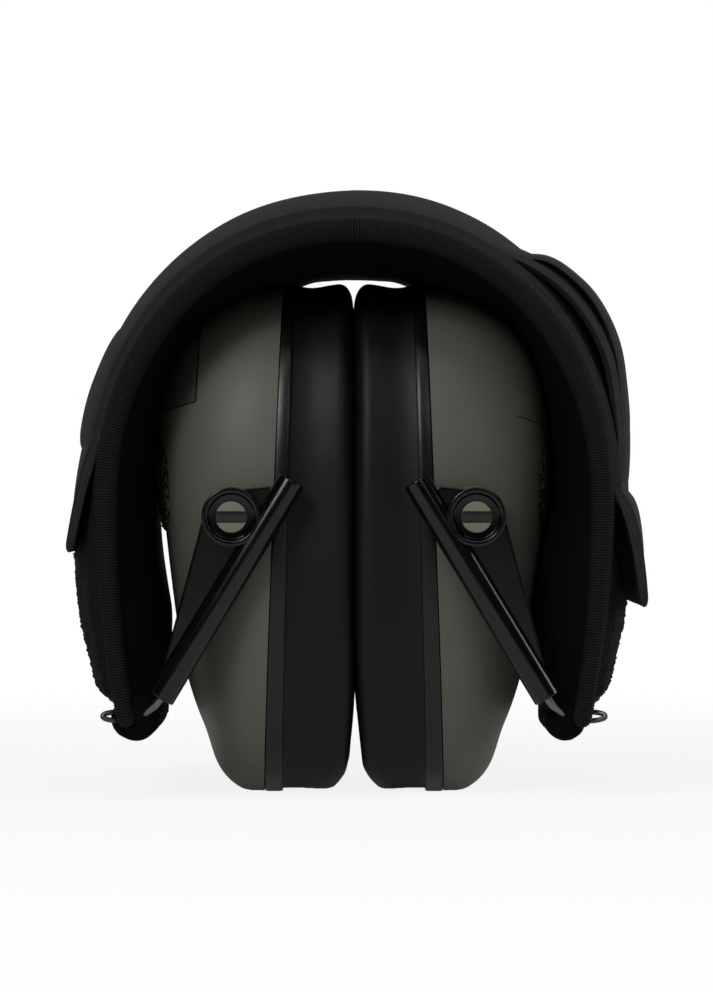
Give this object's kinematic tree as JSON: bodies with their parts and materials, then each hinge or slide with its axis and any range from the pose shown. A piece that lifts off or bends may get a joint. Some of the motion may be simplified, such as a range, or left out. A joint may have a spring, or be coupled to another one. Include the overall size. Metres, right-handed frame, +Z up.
{
  "type": "earmuff hearing protector",
  "caption": "Folding electronic earmuff: padded cups on wire yokes swing out of a padded fabric headband to cover the ears against noise.",
  "frame": {"origin": "middle of the box of the folded earmuff, on the surface the cups stand on", "axes": "+X across the cups to the pictured right, -Y the pictured front, +Z up to the crown of the headband"},
  "size_m": [0.1221, 0.0848, 0.1221],
  "materials": {
    "olive": "satin",
    "black_plastic": "satin",
    "black_cloth": "woven",
    "black_vinyl": "soft",
    "black_foam": "open cell",
    "grey_foam": "open cell",
    "steel": "drawn",
    "board_green": "matte",
    "cell_grey": "satin"
  },
  "bodies": {
    "crown": {"crown_pad": "black_cloth", "crown_cover": "black_cloth", "crown_binding_front": "black_cloth", "crown_binding_rear": "black_cloth", "crown_spring_front": "steel", "crown_spring_rear": "steel"},
    "left_band": {"left_pad": "black_cloth", "left_cover": "black_cloth", "left_loop_panel": "black_cloth", "left_binding_front": "black_cloth", "left_binding_rear": "black_cloth", "left_hem": "black_cloth", "left_spring_frame": "steel"},
    "left_yoke": {"left_yoke_wire": "steel"},
    "left_arms": {"left_arm_front": "black_plastic", "left_arm_rear": "black_plastic"},
    "left_cup": {"left_shell": "olive", "left_base_plate": "black_plastic", "left_cushion": "black_vinyl", "left_mic_foam": "black_foam", "left_mic_capsule": "steel", "left_speaker": "black_plastic", "left_absorber": "grey_foam", "left_pin_front": "olive", "left_pin_rear": "olive", "battery_tray": "black_plastic", "battery_upper": "cell_grey", "battery_lower": "cell_grey", "battery_contact_front": "steel", "battery_contact_rear": "steel"},
    "right_band": {"right_pad": "black_cloth", "right_cover": "black_cloth", "right_loop_panel": "black_cloth", "right_binding_front": "black_cloth", "right_binding_rear": "black_cloth", "right_hem": "black_cloth", "right_spring_frame": "steel"},
    "right_yoke": {"right_yoke_wire": "steel"},
    "right_arms": {"right_arm_front": "black_plastic", "right_arm_rear": "black_plastic"},
    "right_cup": {"right_shell": "olive", "right_base_plate": "black_plastic", "right_cushion": "black_vinyl", "right_mic_foam": "black_foam", "right_mic_capsule": "steel", "right_speaker": "black_plastic", "right_absorber": "grey_foam", "right_pin_front": "olive", "right_pin_rear": "olive", "volume_control": "steel", "circuit_board": "board_green"},
    "battery_door": {"battery_door": "black_plastic"},
    "volume_knob": {"volume_knob": "black_plastic"}
  },
  "joints": [
    {"name": "left_spread", "type": "hinge", "parent": "crown", "child": "left_band", "pos_m": [-0.01469, 0, 0.12045], "axis": [0, 1, 0], "range_deg": [0, 41]},
    {"name": "left_fold", "type": "hinge", "parent": "left_band", "child": "left_yoke", "pos_m": [-0.0426, 0, 0.0168], "axis": [0, 1, 0], "range_deg": [0, 84]},
    {"name": "left_slide", "type": "slide", "parent": "left_yoke", "child": "left_arms", "axis": [0.5172, 0, 0.8558], "range_m": [0, 0.02]},
    {"name": "left_tilt", "type": "hinge", "parent": "left_arms", "child": "left_cup", "pos_m": [-0.0245, 0, 0.0568], "axis": [0, -1, 0], "range_deg": [0, 125]},
    {"name": "right_spread", "type": "hinge", "parent": "crown", "child": "right_band", "pos_m": [0.01469, 0, 0.12045], "axis": [0, -1, 0], "range_deg": [0, 41]},
    {"name": "right_fold", "type": "hinge", "parent": "right_band", "child": "right_yoke", "pos_m": [0.0426, 0, 0.0168], "axis": [0, -1, 0], "range_deg": [0, 84]},
    {"name": "right_slide", "type": "slide", "parent": "right_yoke", "child": "right_arms", "axis": [-0.5172, 0, 0.8558], "range_m": [0, 0.02]},
    {"name": "right_tilt", "type": "hinge", "parent": "right_arms", "child": "right_cup", "pos_m": [0.0245, 0, 0.0568], "axis": [0, 1, 0], "range_deg": [0, 125]},
    {"name": "battery_door_slide", "type": "slide", "parent": "left_cup", "child": "battery_door", "axis": [0, 1, 0], "range_m": [0, 0.014]},
    {"name": "volume_turn", "type": "hinge", "parent": "right_cup", "child": "volume_knob", "pos_m": [0.03469, 0.018, 0.04117], "axis": [0.9993, 0, 0.0375], "range_deg": [0, 270]}
  ],
  "couplings": [
    {"joint": "left_fold", "follows": "left_spread", "ratio": 2.0487},
    {"joint": "left_slide", "follows": "left_spread", "m_per_rad": 0.00838},
    {"joint": "left_tilt", "follows": "left_spread", "ratio": 3.0487},
    {"joint": "right_fold", "follows": "right_spread", "ratio": 2.0487},
    {"joint": "right_slide", "follows": "right_spread", "m_per_rad": 0.00838},
    {"joint": "right_tilt", "follows": "right_spread", "ratio": 3.0487}
  ]
}
